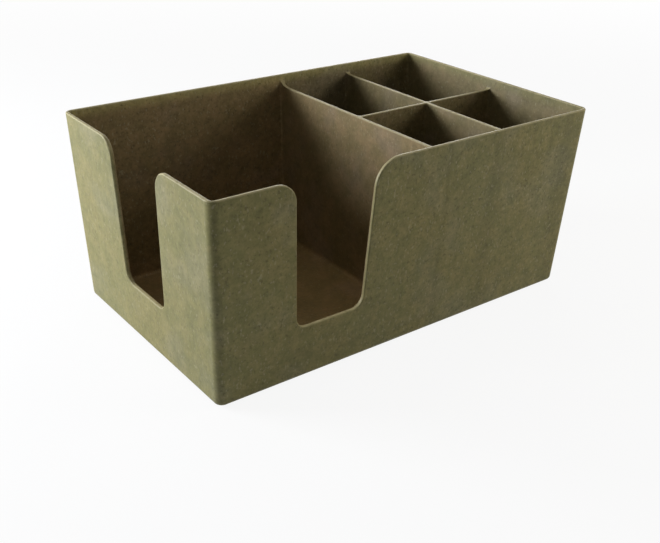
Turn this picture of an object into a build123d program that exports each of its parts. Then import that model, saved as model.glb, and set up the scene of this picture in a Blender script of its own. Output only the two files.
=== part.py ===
from build123d import *
import math
import os

# A bar caddy: one moulded box with a napkin bay on the left, four small cells
# on the right and two hand slots, standing on four soft feet.
# Millimetres, +Z up. The origin is on the table under the middle of the box,
# with the front at -Y and the napkin bay at -X.

# Outside of the moulding
rim_length = 240.0
rim_depth = 149.0
body_height = 106.4
end_draft = 1.94
side_draft = 2.61
corner_radius = 4.5
base_edge_radius = 3.0

# Walls and floor
rim_wall = 2.1
wall_draft = 0.3
floor_thickness = 2.6
floor_fillet = 2.4
pocket_corner_radius = 1.3
rim_bevel = 0.45

# Dividers: places are those of the middle of each top edge
main_divider_x = 16.8
cell_divider_x = 66.9
cross_divider_y = -1.4
divider_width = 2.0
divider_draft = 0.4
divider_drop = 6.4
divider_round = 0.5
main_divider_sweep = 4.2
cell_divider_sweep = 1.6

# Each sweep starts with a low ramp: its size is a share of the sweep's radius
ramp_run = 1.3
ramp_rise = 0.2

# Hand slots: widths are at mid height of the box
front_slot_x = -53.0
front_slot_width = 42.0
front_slot_sill = 29.0
end_slot_y = -2.6
end_slot_width = 41.4
end_slot_sill = 30.5
slot_lean = 2.4
slot_sill_radius = 6.5
post_shoulder_radius = 10.5
front_shoulder_radius = 14.0
end_shoulder_radius = 9.5

# Feet
foot_diameter = 12.0
foot_inset = 15.0
foot_stand = 1.0
foot_seat_depth = 0.8
foot_clearance = 0.2
foot_edge_bevel = 0.4

# Moulding gate under the floor
gate_dish_diameter = 10.0
gate_dish_depth = 0.4
gate_nub_diameter = 3.0
gate_nub_height = 0.3

# Room that a cutter needs to run clear of what it cuts, and how closely sizes are matched
overrun = 1.0
match = 0.01

# Heights
base_z = foot_stand
rim_z = base_z + body_height
floor_z = base_z + floor_thickness
divider_z = rim_z - divider_drop
open_z = rim_z + overrun


def slope(degrees):
    return math.tan(math.radians(degrees))


def outer_half_length(z):
    return rim_length / 2 - (rim_z - z) * slope(end_draft)


def outer_half_depth(z):
    return rim_depth / 2 - (rim_z - z) * slope(side_draft)


def inner_half_length(z):
    return rim_length / 2 - rim_wall - (rim_z - z) * slope(end_draft + wall_draft)


def inner_half_depth(z):
    return rim_depth / 2 - rim_wall - (rim_z - z) * slope(side_draft + wall_draft)


def divider_half_width(z):
    return divider_width / 2 + (divider_z - z) * slope(divider_draft)


def rounded_polygon(corners, radii):
    """A closed outline, rounded at the corners that have a radius."""
    outline = Polygon(*corners, align=None)
    for index, radius in radii.items():
        if radius > 0:
            corner = outline.vertices().sort_by_distance((*corners[index], 0))[0]
            outline = fillet(corner, radius)
    return outline


def drafted_block(sides, low, high):
    """A block between four sloping sides: each side is a function of the height."""
    left, right, front, back = sides
    from_front = Polygon((left(low), low), (right(low), low),
                         (right(high), high), (left(high), high), align=None)
    from_end = Polygon((front(low), low), (back(low), low),
                       (back(high), high), (front(high), high), align=None)
    across = extrude(Plane.XZ * from_front, amount=rim_depth, both=True)
    along = extrude(Plane.YZ * from_end, amount=rim_length, both=True)
    return across & along


def rounded_block(sides, low, high, upright_radius, bottom_radius):
    """A drafted block with its four upright edges rounded, and then its bottom edges."""
    block = drafted_block(sides, low, high)
    uprights = [edge for edge in block.edges()
                if low + overrun < edge.center().Z < high - overrun]
    block = fillet(uprights, upright_radius)
    return fillet(block.faces().sort_by(Axis.Z)[0].edges(), bottom_radius)


def outer_block():
    """The closed outside of the box."""
    sides = (lambda z: -outer_half_length(z), outer_half_length,
             lambda z: -outer_half_depth(z), outer_half_depth)
    return rounded_block(sides, base_z, rim_z, corner_radius, base_edge_radius)


def pocket(*sides):
    """A hollow, open at the top, that runs down to the floor."""
    return rounded_block(sides, floor_z, open_z, pocket_corner_radius, floor_fillet)


def left_wall(z):
    return -inner_half_length(z)


def right_wall(z):
    return inner_half_length(z)


def front_wall(z):
    return -inner_half_depth(z)


def back_wall(z):
    return inner_half_depth(z)


def side_of(middle, sign):
    """One side of a divider, as a function of the height."""
    return lambda z: middle + sign * divider_half_width(z)


def pockets():
    """The napkin bay and the four cells."""
    columns = ((side_of(main_divider_x, 1), side_of(cell_divider_x, -1)),
               (side_of(cell_divider_x, 1), right_wall))
    rows = ((front_wall, side_of(cross_divider_y, -1)),
            (side_of(cross_divider_y, 1), back_wall))
    bay = (left_wall, side_of(main_divider_x, -1), front_wall, back_wall)
    cells = [(*column, *row) for column in columns for row in rows]
    return [pocket(*sides) for sides in [bay] + cells]


def headroom_foot(wall, sweep, inward):
    """Where a headroom's floor meets a wall: the corner that a sweep rounds, then its ramp."""
    if sweep == 0:
        return [(wall(divider_z), divider_z)]
    ramp_z = divider_z + sweep * ramp_rise
    return [(wall(ramp_z), ramp_z),
            (wall(divider_z) + inward * sweep * ramp_run, divider_z)]


def headroom_outline(low_side, high_side, low_sweep, high_sweep):
    """The space above a divider, whose top sweeps up where it meets a wall."""
    low_foot = headroom_foot(low_side, low_sweep, 1)
    high_foot = headroom_foot(high_side, high_sweep, -1)
    corners = (low_foot + high_foot[::-1]
               + [(high_side(open_z), open_z), (low_side(open_z), open_z)])
    return rounded_polygon(corners, {0: low_sweep, len(low_foot + high_foot) - 1: high_sweep})


def divider_headrooms():
    """Cutters that bring the three dividers down below the rim."""
    reach = divider_half_width(divider_z) + pocket_corner_radius + overrun
    cuts = []
    for x, sweep in ((main_divider_x, main_divider_sweep), (cell_divider_x, cell_divider_sweep)):
        across = Plane(origin=(x, 0, 0), x_dir=(0, 1, 0), z_dir=(1, 0, 0))
        outline = headroom_outline(front_wall, back_wall, sweep, sweep)
        cuts.append(extrude(across * outline, amount=reach, both=True))
    along = Plane(origin=(0, cross_divider_y, 0), x_dir=(1, 0, 0), z_dir=(0, -1, 0))
    outline = headroom_outline(side_of(main_divider_x, 1), right_wall, 0, cell_divider_sweep)
    cuts.append(extrude(along * outline, amount=reach, both=True))
    return cuts


def slot_outline(middle, width, sill, low_shoulder, high_shoulder):
    """A leaning U from the sill up to the rim, flared by a shoulder on each side."""
    mid_z = base_z + body_height / 2
    sill_z = base_z + sill
    top_half = width / 2 + (rim_z - mid_z) * slope(slot_lean)
    sill_half = width / 2 - (mid_z - sill_z) * slope(slot_lean)
    low_end = middle - top_half - low_shoulder - overrun
    high_end = middle + top_half + high_shoulder + overrun
    corners = [(low_end, open_z), (low_end, rim_z), (middle - top_half, rim_z),
               (middle - sill_half, sill_z), (middle + sill_half, sill_z),
               (middle + top_half, rim_z), (high_end, rim_z), (high_end, open_z)]
    radii = {2: low_shoulder, 3: slot_sill_radius, 4: slot_sill_radius, 5: high_shoulder}
    return rounded_polygon(corners, radii)


def hand_slots():
    """Cutters for the slot in the front wall and the slot in the left end wall."""
    front = slot_outline(front_slot_x, front_slot_width, front_slot_sill,
                         post_shoulder_radius, front_shoulder_radius)
    end = slot_outline(end_slot_y, end_slot_width, end_slot_sill,
                       post_shoulder_radius, end_shoulder_radius)
    reach = rim_wall + corner_radius + body_height * slope(side_draft)
    front_face = Plane(origin=(0, -rim_depth / 2 - overrun, 0), x_dir=(1, 0, 0), z_dir=(0, -1, 0))
    end_face = Plane(origin=(-rim_length / 2 - overrun, 0, 0), x_dir=(0, 1, 0), z_dir=(1, 0, 0))
    front_cut = extrude(front_face * front, amount=-(reach + overrun))
    end_cut = extrude(end_face * end, amount=reach + overrun)
    return [front_cut, end_cut]


def foot_places():
    x = outer_half_length(base_z) - foot_inset
    y = outer_half_depth(base_z) - foot_inset
    return {"front_left_foot": (-x, -y), "front_right_foot": (x, -y),
            "back_left_foot": (-x, y), "back_right_foot": (x, y)}


def disc(place, diameter, low_z, high_z):
    height = high_z - low_z
    return Pos(*place, low_z + height / 2) * Cylinder(diameter / 2, height)


def underside_cuts():
    """Seats for the feet, and a dish that keeps the gate's stub off the table."""
    seat_diameter = foot_diameter + 2 * foot_clearance
    seats = [disc(place, seat_diameter, base_z - overrun, base_z + foot_seat_depth)
             for place in foot_places().values()]
    dish = disc((0, 0), gate_dish_diameter, base_z - overrun, base_z + gate_dish_depth)
    nub = disc((0, 0), gate_nub_diameter, base_z + gate_dish_depth - gate_nub_height, floor_z)
    return seats + [dish - nub]


def within_wall(point):
    """True inside the thickness of an outer wall, and false on its two faces."""
    x, y, z = abs(point.X), abs(point.Y), point.Z
    depth_in = min(outer_half_length(z) - x, outer_half_depth(z) - y)
    depth_out = max(x - inner_half_length(z), y - inner_half_depth(z))
    return min(depth_in, depth_out) > rim_wall / 4


def rim_edges(body):
    """Both edges of the narrow band that runs round the rim and down through the slots."""
    band = [face for face in body.faces()
            if abs(face.center().Z - rim_z) < match or within_wall(face.center())]
    edges = [edge for face in band for edge in face.edges()]
    return [edge for edge in edges if sum(edge.is_same(other) for other in edges) == 1]


def is_ramp_start(edge):
    """True for the crease across a divider where a ramp starts."""
    return edge.geom_type == GeomType.LINE and abs(edge.length - divider_width) < match


def divider_top_edges(body):
    """The long edges of the dividers' level tops, and the corners where dividers meet."""
    tops = [face for face in body.faces().filter_by(Axis.Z)
            if abs(face.center().Z - divider_z) < match]
    return [edge for face in tops for edge in face.edges() if not is_ramp_start(edge)]


def caddy_body():
    body = outer_block()
    for hollow in pockets():
        body -= hollow
    for cut in divider_headrooms() + hand_slots() + underside_cuts():
        body -= cut
    body = chamfer(rim_edges(body), rim_bevel)
    return fillet(divider_top_edges(body), divider_round)


def foot(place):
    """A soft disc whose top lies in its seat and whose lower edge is bevelled."""
    pad = disc(place, foot_diameter, 0, base_z + foot_seat_depth)
    return chamfer(pad.edges().sort_by(Axis.Z)[0], foot_edge_bevel)


os.makedirs("parts", exist_ok=True)
export_step(caddy_body(), "parts/caddy_body.step")
for name, place in foot_places().items():
    export_step(foot(place), f"parts/{name}.step")
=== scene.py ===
import math
import bpy
import bmesh
from mathutils import Matrix, Vector

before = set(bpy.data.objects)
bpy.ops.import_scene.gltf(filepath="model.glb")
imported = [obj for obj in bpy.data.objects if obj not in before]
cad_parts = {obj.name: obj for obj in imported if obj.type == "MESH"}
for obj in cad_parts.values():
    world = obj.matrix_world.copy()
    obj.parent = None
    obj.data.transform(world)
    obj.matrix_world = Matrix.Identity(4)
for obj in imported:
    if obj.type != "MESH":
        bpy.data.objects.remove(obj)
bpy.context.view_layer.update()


# where the camera stands and what it clips, in metres and degrees; lens and sensor in millimetres
cameraView = {
    "aim": (-0.00951, -0.01346, 0.01872),
    "azimuth": -37.866,
    "elevation": 27.017,
    "roll": 1.562,
    "distance": 0.52005,
    "lens": 50.49,
    "sensor": 36.0,
    "clip": (0.01, 50),
}


def makeCamera(view):
    turn, lift, roll = (math.radians(view[key]) for key in ("azimuth", "elevation", "roll"))
    back = Vector((math.sin(turn) * math.cos(lift), -math.cos(turn) * math.cos(lift), math.sin(lift)))
    level = Vector((math.cos(turn), math.sin(turn), 0))
    upright = back.cross(level)
    right = level * math.cos(roll) + upright * math.sin(roll)
    up = upright * math.cos(roll) - level * math.sin(roll)
    data = bpy.data.cameras.new("photoCamera")
    data.lens = view["lens"]
    data.sensor_width = view["sensor"]
    data.sensor_fit = "HORIZONTAL"
    data.clip_start, data.clip_end = view["clip"]
    camera = bpy.data.objects.new("photoCamera", data)
    bpy.context.scene.collection.objects.link(camera)
    place = Matrix((right, up, back)).transposed().to_4x4()
    place.translation = Vector(view["aim"]) + back * view["distance"]
    camera.matrix_world = place
    bpy.context.scene.camera = camera


makeCamera(cameraView)
print("camera placed")


# each lamp: where it is, what it faces, its width and height, its power and its colour
lamps = {
    "leftWindow": {"at": (-0.56, 0.435, 0.245), "to": (-0.05, 0, 0.05), "size": (0.38, 0.26),
                   "power": 7.9, "colour": (0.88, 0.92, 1.0)},
    "topPanel": {"at": (-0.1, 0.1, 1.4), "to": (0, 0, 0.05), "size": (1.2, 1.2),
                 "power": 2.9, "colour": (1.0, 0.98, 0.96)},
    "rightFill": {"at": (0.46, -0.36, 0.24), "to": (0.05, -0.03, 0.05), "size": (0.34, 0.28),
                  "power": 1.3, "colour": (1.0, 0.96, 0.84)},
    "backFill": {"at": (1.3, 1.5, 0.5), "to": (0, 0, 0.05), "size": (0.9, 0.5),
                 "power": 10.0, "colour": (1.0, 0.98, 0.96)},
}


def makeLamp(name, lamp):
    data = bpy.data.lights.new(name, "AREA")
    data.shape = "RECTANGLE"
    data.size, data.size_y = lamp["size"]
    data.energy = lamp["power"]
    data.color = lamp["colour"]
    light = bpy.data.objects.new(name, data)
    bpy.context.scene.collection.objects.link(light)
    light.location = lamp["at"]
    aim = Vector(lamp["to"]) - Vector(lamp["at"])
    light.rotation_euler = aim.to_track_quat("-Z", "Y").to_euler()


for lampName, lampValues in lamps.items():
    makeLamp(lampName, lampValues)

bpy.context.scene.view_settings.view_transform = "Standard"
print("lamps placed")


class Graph:
    # a short way to add shader nodes and join them

    def __init__(self, tree):
        self.tree = tree
        self.tree.nodes.clear()

    def add(self, kind, inputs=None, **settings):
        node = self.tree.nodes.new(kind)
        for key, value in settings.items():
            setattr(node, key, value)
        for key, value in (inputs or {}).items():
            self.feed(node.inputs[key], value)
        return node

    def feed(self, socket, value):
        if isinstance(value, bpy.types.NodeSocket):
            self.tree.links.new(value, socket)
        elif isinstance(value, tuple) and len(value) == 3 and socket.type == "RGBA":
            socket.default_value = (*value, 1)
        else:
            socket.default_value = value

    def maths(self, operation, first, second=0.0):
        return self.add("ShaderNodeMath", {0: first, 1: second}, operation=operation).outputs[0]

    def times(self, first, second):
        return self.maths("MULTIPLY", first, second)

    def noise(self, where, size, detail, roughness, stretch=None):
        if stretch:
            where = self.add("ShaderNodeMapping", {"Vector": where, "Scale": stretch}).outputs[0]
        node = self.add("ShaderNodeTexNoise", {"Vector": where, "Scale": 1 / size, "Detail": detail,
                                               "Roughness": roughness})
        return node.outputs["Fac"]

    def spread(self, value, low, high, newLow=0.0, newHigh=1.0, smooth=True):
        node = self.add("ShaderNodeMapRange", {"Value": value, "From Min": low, "From Max": high,
                                               "To Min": newLow, "To Max": newHigh},
                        interpolation_type="SMOOTHSTEP" if smooth else "LINEAR")
        return node.outputs["Result"]

    def blend(self, amount, first, second, mode="MIX"):
        node = self.add("ShaderNodeMix", data_type="RGBA", blend_type=mode)
        self.feed(node.inputs["Factor"], amount)
        self.feed(node.inputs[6], first)  # the first colour
        self.feed(node.inputs[7], second)  # the second colour
        return node.outputs[2]

    def seen(self):
        # 1 for rays from the camera and for glossy or transmitted ones, and 0 for diffuse ones
        path = self.add("ShaderNodeLightPath")
        shown = self.maths("MAXIMUM", path.outputs["Is Camera Ray"], path.outputs["Is Glossy Ray"])
        return self.maths("MAXIMUM", shown, path.outputs["Is Transmission Ray"])


# the room looks white, and lights the caddy only dimly
whiteRoom = {"colour": (1.0, 1.0, 1.0), "dim": 0.055, "white": 1.0}


def makeWorld(values):
    world = bpy.data.worlds.new("whiteRoom")
    world.use_nodes = True
    graph = Graph(world.node_tree)
    dim = graph.add("ShaderNodeBackground", {"Color": values["colour"], "Strength": values["dim"]})
    white = graph.add("ShaderNodeBackground", {"Color": values["colour"], "Strength": values["white"]})
    mixed = graph.add("ShaderNodeMixShader", {0: graph.seen(), 1: dim.outputs[0], 2: white.outputs[0]})
    graph.add("ShaderNodeOutputWorld", {"Surface": mixed.outputs[0]})
    bpy.context.scene.world = world


makeWorld(whiteRoom)


# a pale sheet, shown paler than it reflects, whose white share grows with the distance from the caddy
floorSheet = {
    "radius": 12.0,
    "segments": 96,
    "colour": (0.66, 0.66, 0.66),
    "seenColour": (0.95, 0.95, 0.95),
    "white": (1.0, 1.0, 1.0),
    "whiteShare": (0.90, 1.0),
    "whiteReach": (0.25, 1.2),
}


def makeFloor(values):
    form = bmesh.new()
    bmesh.ops.create_circle(form, cap_ends=True, segments=values["segments"], radius=values["radius"])
    mesh = bpy.data.meshes.new("floorSheet")
    form.to_mesh(mesh)
    form.free()
    floor = bpy.data.objects.new("floorSheet", mesh)
    bpy.context.scene.collection.objects.link(floor)
    material = bpy.data.materials.new("paleFloor")
    material.use_nodes = True
    graph = Graph(material.node_tree)
    seen = graph.seen()
    where = graph.add("ShaderNodeTexCoord").outputs["Object"]
    away = graph.add("ShaderNodeVectorMath", {0: where}, operation="LENGTH").outputs["Value"]
    share = graph.times(seen, graph.spread(away, *values["whiteReach"], *values["whiteShare"]))
    colour = graph.blend(seen, values["colour"], values["seenColour"])
    matt = graph.add("ShaderNodeBsdfDiffuse", {"Color": colour})
    white = graph.add("ShaderNodeEmission", {"Color": values["white"], "Strength": 1.0})
    mixed = graph.add("ShaderNodeMixShader", {0: share, 1: matt.outputs[0], 2: white.outputs[0]})
    graph.add("ShaderNodeOutputMaterial", {"Surface": mixed.outputs[0]})
    mesh.materials.append(material)


makeFloor(floorSheet)
print("floor and world made")


# where the moulding's rim, inside and divider tops are: its drafted walls, in metres and as slopes
caddyShape = {
    "halfLength": 0.12,
    "halfDepth": 0.0745,
    "rim": 0.1074,
    "endSlope": 0.0339,
    "sideSlope": 0.0456,
    "corner": 0.0045,
    "wall": 0.0021,
    "floorTop": 0.0036,
    "dividerTop": 0.101,
}

# where each mask fades in: metres from the place in its note, unless the note says otherwise
caddyMaskEdges = {
    "underFloorTop": (0.0012, 0.0004),  # under the floor's top, where the inside begins
    "overFloorTop": (0.003, 0.001),  # over it, where the tint and painted shade near the floor begin
    "heightOfSills": (0.008, 0.012),  # height under which nothing is lightened
    "underRim": (0.0005, 0.007),  # down from the rim, where the inside turns browner, partly as painted shade
    "rimDepth": 0.001,  # under the rim, where corners are rubbed too
    "insideShare": (0.5, 0.75),  # of the wall's thickness
    "band": (0.00002, 0.0004),  # in from either face of a wall
    "bandFacing": (0.1, 0.6),  # how far up the surface looks, from 0 to 1
    "bandUpright": 0.35,  # what is left of the band where the surface looks sideways
    "underDividerTop": (0.0006, 0.0002),
    "topFacing": (0.2, 0.7),
    "wearRadius": 0.001,
    "wearSamples": 8,
    "wearTurn": (0.985, 0.87),  # cosine of the angle between the surface and its rounded form
    "wearAmount": 0.25,
    "wearDepth": (0.0012, 0.0006),  # in from the outer face
    "skin": 0.0005,  # how far in still counts as the outer face
    "cellsFrom": (0.0148, 0.0188),  # x at which the bay ends and the cells begin
    "frontFacing": (-0.5, -0.9),  # how far forward the surface looks
}


def caddyMasks(graph, coords, shape, reach):
    place = graph.add("ShaderNodeSeparateXYZ", {"Vector": coords.outputs["Object"]})
    facing = graph.add("ShaderNodeSeparateXYZ", {"Vector": coords.outputs["Normal"]})
    x, y, z = place.outputs
    wall, corner, rim, floorTop, dividerTop = (shape[key] for key in ("wall", "corner", "rim", "floorTop",
                                                                      "dividerTop"))
    # how far each side lies beyond the middle of its rounded corner, which gives the depth in from the skin
    drop = graph.maths("SUBTRACT", rim, z)
    beyond = []
    for side, half, slope in ((x, shape["halfLength"], shape["endSlope"]),
                              (y, shape["halfDepth"], shape["sideSlope"])):
        middle = graph.maths("SUBTRACT", half - corner, graph.times(drop, slope))
        beyond.append(graph.maths("SUBTRACT", graph.maths("ABSOLUTE", side), middle))
    squares = [graph.maths("POWER", graph.maths("MAXIMUM", side, 0.0), 2.0) for side in beyond]
    swung = graph.maths("SQRT", graph.maths("ADD", *squares))
    sunk = graph.maths("MINIMUM", graph.maths("MAXIMUM", *beyond), 0.0)
    depth = graph.maths("SUBTRACT", corner, graph.maths("ADD", swung, sunk))

    underFloor, overFloor = reach["underFloorTop"], reach["overFloorTop"]
    above = graph.spread(z, floorTop - underFloor[0], floorTop - underFloor[1])
    nearFloor = graph.spread(z, floorTop + overFloor[0], floorTop + overFloor[1])
    belowRim = graph.spread(z, rim - reach["underRim"][0], rim - reach["underRim"][1])
    inside = graph.times(above, graph.spread(depth, *(share * wall for share in reach["insideShare"])))
    fronts = graph.spread(facing.outputs["Y"], *reach["frontFacing"])
    outside = graph.times(graph.maths("GREATER_THAN", beyond[1], corner - reach["skin"]),
                          graph.maths("LESS_THAN", facing.outputs["Y"], reach["frontFacing"][1]))

    # the tops of the walls and dividers, lighter as rubbed wear and as a painted highlight that is
    # strongest where the surface looks up
    thin, wide = reach["band"]
    atRim = graph.maths("GREATER_THAN", z, rim - reach["rimDepth"])
    awayFromCorner = graph.maths("LESS_THAN", graph.maths("MINIMUM", *beyond), 0.0)
    band = graph.times(graph.spread(depth, thin, wide),
                       graph.spread(depth, wall - wide, wall - thin, 1.0, 0.0))
    band = graph.times(band, graph.maths("MAXIMUM", atRim, awayFromCorner))
    band = graph.times(band, graph.spread(facing.outputs["Z"], *reach["bandFacing"],
                                          reach["bandUpright"], 1.0))
    underTop = reach["underDividerTop"]
    tops = graph.times(graph.spread(z, dividerTop - underTop[0], dividerTop - underTop[1]),
                       graph.spread(facing.outputs["Z"], *reach["topFacing"]))

    # a soft line of wear beside the outer edges, where the surface turns sharply
    rounded = graph.add("ShaderNodeBevel", {"Radius": reach["wearRadius"]}, samples=reach["wearSamples"])
    plain = graph.add("ShaderNodeNewGeometry")
    alike = graph.add("ShaderNodeVectorMath", {0: rounded.outputs[0], 1: plain.outputs["Normal"]},
                      operation="DOT_PRODUCT").outputs["Value"]
    wear = graph.times(graph.spread(alike, *reach["wearTurn"], 0.0, reach["wearAmount"]),
                       graph.spread(depth, *reach["wearDepth"]))
    edges = graph.maths("MAXIMUM", graph.maths("MAXIMUM", band, tops), wear)
    return {
        "x": x,
        "inside": inside,
        "outside": outside,
        "fronts": fronts,
        "backWalls": graph.times(inside, fronts),
        "cells": graph.spread(x, *reach["cellsFrom"]),
        "belowRim": belowRim,
        "nearFloor": nearFloor,
        "edges": graph.times(graph.spread(z, *reach["heightOfSills"]), edges),
    }


# the moulded plastic with plant fibre in it, with lengths in metres; a reach is the pair of pattern values
# between which something fades in
caddyFinish = {
    "olive": (0.214, 0.199, 0.0755),
    "brown": (0.207, 0.180, 0.0735),
    # the tone of pale greyish patches that stand in for a soft sheen: painted sheen
    "sheenTone": (0.25, 0.235, 0.165),
    "cream": (0.42, 0.39, 0.25),
    "dark": (0.09, 0.075, 0.035),
    # the lighter edge tone: rubbed wear and a painted highlight
    "edge": (0.41, 0.355, 0.185),
    # inside tints, partly the plastic's browner tone and partly painted shade: the bay, the cells and the
    # floor redder and darker
    "bayTintAndShade": (1.05, 0.85, 1.0),
    "cellTintAndShade": (0.95, 0.83, 1.0),
    "floorTintAndShade": (1.0, 0.74, 0.70),
    # each pattern's size, its detail, how rough that detail is, and how it is stretched along x, y and z
    "patterns": {
        "cloud": (0.045, 3.0, 0.55, None),
        "mottle": (0.009, 3.0, 0.6, None),
        "dapple": (0.003, 2.0, 0.55, None),
        "grain": (0.0012, 2.0, 0.5, None),
        "streak": (0.005, 2.0, 0.5, (1.0, 1.0, 0.1)),
        # the cloudy pattern of the painted sheen
        "sheenCloud": (0.028, 2.0, 0.5, None),
        "fleck": (0.0012, 1.0, 0.4, (1.0, 1.0, 0.6)),
        "speck": (0.0015, 1.0, 0.4, None),
    },
    "patchShares": {"cloud": 0.45, "mottle": 0.55},
    "patchReach": (0.36, 0.64),
    "sheenReach": (0.5, 0.7),
    "sheenAmount": 0.22,
    "tintAndShadeAmount": (0.3, 0.7),  # at the rim, and what is added well under it
    "swingReach": (0.3, 0.7),
    # how much lighter and darker each pattern makes the plastic
    "fineSwings": {"grain": 0.06, "dapple": 0.09},
    "broadSwings": {"mottle": 0.17, "streak": 0.03, "cloud": 0.10},
    "frontCoarsenessAndShade": 0.8,  # how much stronger the fine grain and flecks are on faces that look forward, partly as painted shade of the grain under grazing light
    # faint upright shades on the front wall: x, half width and strength
    "shadeMarks": ((0.0163, 0.0030, 0.15), (0.0500, 0.0090, 0.13), (0.1060, 0.0110, 0.14)),
    "backWallPaintedLight": 1.7,  # painted light: how many times lighter the back wall is close under its rim, inside
    "fleckReach": (0.62, 0.74),
    "fleckAmount": 0.24,
    "speckReach": (0.36, 0.27),
    "speckAmount": 0.26,
    # how unevenly the edges are lightened, by rubbed wear and a painted highlight
    "rubAndLightReach": (0.25, 0.6),
    "rubAndLightAmount": (0.55, 0.9),
    "roughReach": (0.35, 0.65),
    "roughness": (0.46, 0.58),
    "roughSwing": 0.05,
    "relief": {"grain": 0.00008, "mottle": 0.00008, "dapple": 0.00010},
    "markRelief": 0.0003,
    "edgeRadius": 0.0006,
    "edgeSamples": 6,
    "ior": 1.5,
    "specular": 0.2,
}


def makePatterns(graph, where, patterns):
    return {name: graph.noise(where, *pattern) for name, pattern in patterns.items()}


def fibreColourAndShade(graph, values, masks, patterns):
    # cloudy olive and brown patches under pale patches that stand in for a soft sheen, a painted sheen;
    # inside, the plastic's browner tone together with painted shade, redder and darker deeper down and near
    # the floor
    parts = [graph.times(patterns[name], share) for name, share in values["patchShares"].items()]
    patch = graph.maths("ADD", *parts)
    colour = graph.blend(graph.spread(patch, *values["patchReach"]), values["olive"], values["brown"])
    # painted sheen: pale greyish cloudy patches
    sheenPatches = graph.times(graph.spread(patterns["sheenCloud"], *values["sheenReach"]), values["sheenAmount"])
    colour = graph.blend(sheenPatches, colour, values["sheenTone"])
    # inside tints, partly the plastic's own tone and partly painted shade, growing deeper down and
    # strongest near the floor
    tint = graph.blend(masks["cells"], values["bayTintAndShade"], values["cellTintAndShade"])
    tint = graph.blend(masks["nearFloor"], tint, values["floorTintAndShade"])
    tintedAndShaded = graph.blend(1.0, colour, tint, "MULTIPLY")
    least, more = values["tintAndShadeAmount"]
    share = graph.times(masks["inside"], graph.maths("ADD", least, graph.times(masks["belowRim"], more)))
    return graph.blend(share, colour, tintedAndShaded)


def makeMarks(graph, values, masks):
    # a narrow sink mark over the main divider, its hollow also painted as shade in the colour, then two
    # broad shades
    marks = 0.0
    for middle, halfWidth, strength in values["shadeMarks"]:
        away = graph.maths("ABSOLUTE", graph.maths("SUBTRACT", masks["x"], middle))
        marks = graph.maths("ADD", marks, graph.spread(away, 0.0, halfWidth, strength, 0.0))
    return graph.times(marks, masks["outside"])


def fibreShade(graph, values, masks, patterns, coarserAndShaded, marks):
    def swung(name, swing):
        return graph.spread(patterns[name], *values["swingReach"], 1 - swing, 1 + swing, smooth=False)

    # the fine grain and dapples, then mottling, flow streaks and clouds
    fine = graph.times(*(swung(*item) for item in values["fineSwings"].items()))
    shade = graph.maths("ADD", 1.0, graph.times(graph.maths("SUBTRACT", fine, 1.0), coarserAndShaded))
    for item in values["broadSwings"].items():
        shade = graph.times(shade, swung(*item))
    shade = graph.times(shade, graph.maths("SUBTRACT", 1.0, marks))
    # painted light: the back wall is lighter close under its rim, inside
    litUnderRim = graph.times(masks["backWalls"], graph.maths("SUBTRACT", 1.0, masks["belowRim"]))
    shade = graph.times(shade, graph.spread(litUnderRim, 0.0, 1.0, 1.0, values["backWallPaintedLight"], smooth=False))
    return graph.add("ShaderNodeCombineXYZ", {"X": shade, "Y": shade, "Z": shade}).outputs[0]


def addFlecks(graph, colour, values, patterns, coarserAndShaded):
    # cream fibres, then dark husk specks
    for name, tone in (("fleck", "cream"), ("speck", "dark")):
        shown = graph.spread(patterns[name], *values[name + "Reach"])
        shown = graph.times(shown, graph.times(coarserAndShaded, values[name + "Amount"]))
        colour = graph.blend(shown, colour, values[tone])
    return colour


def fibreRelief(graph, values, patterns, marks):
    # the skin's grain, with the upright shades as very shallow hollows
    height = 0.0
    for name, amount in values["relief"].items():
        height = graph.maths("ADD", height, graph.times(patterns[name], amount))
    height = graph.maths("SUBTRACT", height, graph.times(marks, values["markRelief"]))
    softEdges = graph.add("ShaderNodeBevel", {"Radius": values["edgeRadius"]},
                          samples=values["edgeSamples"])
    bump = graph.add("ShaderNodeBump", {"Height": height, "Distance": 1.0, "Strength": 1.0,
                                        "Normal": softEdges.outputs[0]})
    return bump.outputs[0]


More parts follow.
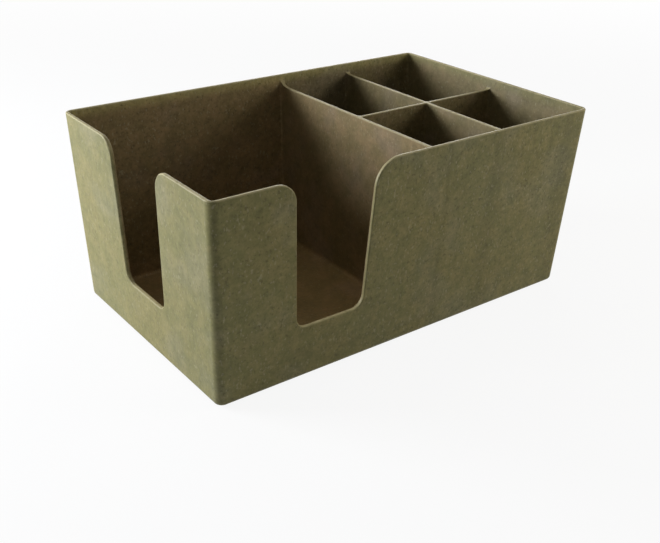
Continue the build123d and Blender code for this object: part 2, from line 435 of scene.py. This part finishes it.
def fibrePlastic(values, shape, reach):
    material = bpy.data.materials.new("fibrePlastic")
    material.use_nodes = True
    graph = Graph(material.node_tree)
    coords = graph.add("ShaderNodeTexCoord")
    masks = caddyMasks(graph, coords, shape, reach)
    patterns = makePatterns(graph, coords.outputs["Object"], values["patterns"])
    # grain and flecks stronger on the forward faces, partly as painted shade of grazing light
    coarserAndShaded = graph.maths("ADD", 1.0, graph.times(masks["fronts"], values["frontCoarsenessAndShade"]))
    marks = makeMarks(graph, values, masks)

    colour = fibreColourAndShade(graph, values, masks, patterns)
    shade = fibreShade(graph, values, masks, patterns, coarserAndShaded, marks)
    colour = graph.blend(1.0, colour, shade, "MULTIPLY")
    colour = addFlecks(graph, colour, values, patterns, coarserAndShaded)
    # edges lighter, a little unevenly: rubbed wear, and a painted highlight on the rims and divider tops
    uneven = graph.spread(patterns["dapple"], *values["rubAndLightReach"], *values["rubAndLightAmount"])
    rubbedAndLit = graph.times(masks["edges"], uneven)
    colour = graph.blend(rubbedAndLit, colour, values["edge"])

    rough = graph.spread(patterns["cloud"], *values["roughReach"], *values["roughness"], smooth=False)
    swing = values["roughSwing"]
    grit = graph.spread(patterns["grain"], *values["swingReach"], -swing, swing, smooth=False)
    shader = graph.add("ShaderNodeBsdfPrincipled", {
        "Base Color": colour,
        "Roughness": graph.maths("ADD", rough, grit),
        "Normal": fibreRelief(graph, values, patterns, marks),
        "IOR": values["ior"],
        "Specular IOR Level": values["specular"],
    })
    graph.add("ShaderNodeOutputMaterial", {"Surface": shader.outputs[0]})
    return material


def dress(node, material):
    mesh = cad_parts[node].data
    mesh.materials.clear()
    mesh.materials.append(material)


dress("caddy_body", fibrePlastic(caddyFinish, caddyShape, caddyMaskEdges))
print("caddy body dressed")


# the soft feet; the two patterns have a size, detail and roughness of detail
footFinish = {
    "rubber": (0.052, 0.047, 0.042),
    "worn": (0.085, 0.078, 0.07),
    "patterns": {"grain": (0.0006, 2.0, 0.6), "wear": (0.004, 3.0, 0.6)},
    "wornReach": (0.4, 0.7),
    "roughReach": (0.3, 0.7),
    "roughness": (0.72, 0.86),
    "relief": 0.00005,
    "ior": 1.5,
}


def softRubber(values):
    material = bpy.data.materials.new("softRubber")
    material.use_nodes = True
    graph = Graph(material.node_tree)
    where = graph.add("ShaderNodeTexCoord").outputs["Object"]
    patterns = makePatterns(graph, where, values["patterns"])
    worn = graph.spread(patterns["wear"], *values["wornReach"])
    colour = graph.blend(worn, values["rubber"], values["worn"])
    rough = graph.spread(patterns["wear"], *values["roughReach"], *values["roughness"], smooth=False)
    bump = graph.add("ShaderNodeBump", {"Height": graph.times(patterns["grain"], values["relief"]),
                                        "Distance": 1.0, "Strength": 1.0})
    shader = graph.add("ShaderNodeBsdfPrincipled", {
        "Base Color": colour,
        "Roughness": rough,
        "Normal": bump.outputs[0],
        "IOR": values["ior"],
    })
    graph.add("ShaderNodeOutputMaterial", {"Surface": shader.outputs[0]})
    return material


rubber = softRubber(footFinish)
for footName in ("front_left_foot", "front_right_foot", "back_left_foot", "back_right_foot"):
    dress(footName, rubber)
print("feet dressed")
